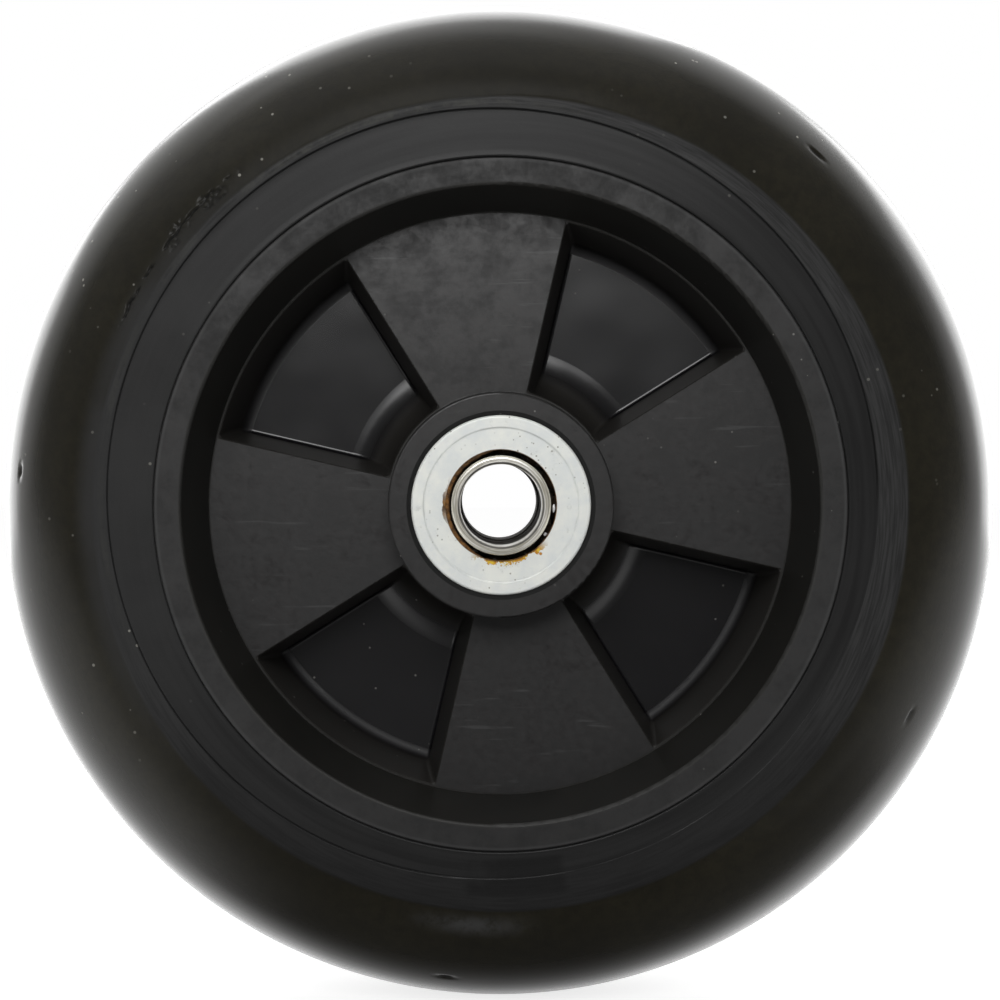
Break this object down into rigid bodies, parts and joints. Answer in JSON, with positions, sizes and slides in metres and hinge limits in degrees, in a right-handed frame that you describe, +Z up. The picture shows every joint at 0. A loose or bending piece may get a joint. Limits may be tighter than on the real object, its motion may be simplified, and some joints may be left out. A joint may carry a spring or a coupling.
{
  "type": "lawn mower wheel",
  "caption": "Lawn mower wheel: solid round-tread rubber tyre on a black moulded core with raised spokes and deep pockets, turning on open ball bearings with a plain axle bore.",
  "frame": {"origin": "the wheel's centre, on the axle's axis", "axes": "+Y along the axle and spin axis, away from the face in the picture; +Z up; +X to the right of that face"},
  "size_m": [0.2, 0.05, 0.2],
  "materials": {
    "tyre_rubber": "matte moulded rubber",
    "core_plastic": "moulded, satin",
    "zinc_plate": "bright zinc plate",
    "race_steel": "turned, hardened",
    "ball_steel": "polished",
    "spacer_steel": "drawn tube"
  },
  "bodies": {
    "axle_sleeve": {"spacer_tube": "spacer_steel", "front_inner_race": "race_steel", "rear_inner_race": "race_steel"},
    "wheel": {"tyre": "tyre_rubber", "wheel_core": "core_plastic", "front_bearing_case": "zinc_plate", "rear_bearing_case": "zinc_plate", "front_outer_race_outboard": "race_steel", "front_outer_race_inboard": "race_steel", "rear_outer_race_outboard": "race_steel", "rear_outer_race_inboard": "race_steel"},
    "front_ball_ring": {"front_ball_01": "ball_steel", "front_ball_02": "ball_steel", "front_ball_03": "ball_steel", "front_ball_04": "ball_steel", "front_ball_05": "ball_steel", "front_ball_06": "ball_steel", "front_ball_07": "ball_steel", "front_ball_08": "ball_steel", "front_ball_09": "ball_steel", "front_ball_10": "ball_steel", "front_ball_11": "ball_steel", "front_ball_12": "ball_steel"},
    "rear_ball_ring": {"rear_ball_01": "ball_steel", "rear_ball_02": "ball_steel", "rear_ball_03": "ball_steel", "rear_ball_04": "ball_steel", "rear_ball_05": "ball_steel", "rear_ball_06": "ball_steel", "rear_ball_07": "ball_steel", "rear_ball_08": "ball_steel", "rear_ball_09": "ball_steel", "rear_ball_10": "ball_steel", "rear_ball_11": "ball_steel", "rear_ball_12": "ball_steel"}
  },
  "joints": [
    {"name": "wheel_spin", "type": "hinge", "parent": "axle_sleeve", "child": "wheel", "pos_m": [0, 0, 0], "axis": [0, 1, 0], "continuous": true},
    {"name": "front_ball_orbit", "type": "hinge", "parent": "axle_sleeve", "child": "front_ball_ring", "pos_m": [0, 0, 0], "axis": [0, 1, 0], "continuous": true},
    {"name": "rear_ball_orbit", "type": "hinge", "parent": "axle_sleeve", "child": "rear_ball_ring", "pos_m": [0, 0, 0], "axis": [0, 1, 0], "continuous": true}
  ],
  "couplings": [
    {"joint": "front_ball_orbit", "follows": "wheel_spin", "ratio": 0.62612},
    {"joint": "rear_ball_orbit", "follows": "wheel_spin", "ratio": 0.62612}
  ]
}
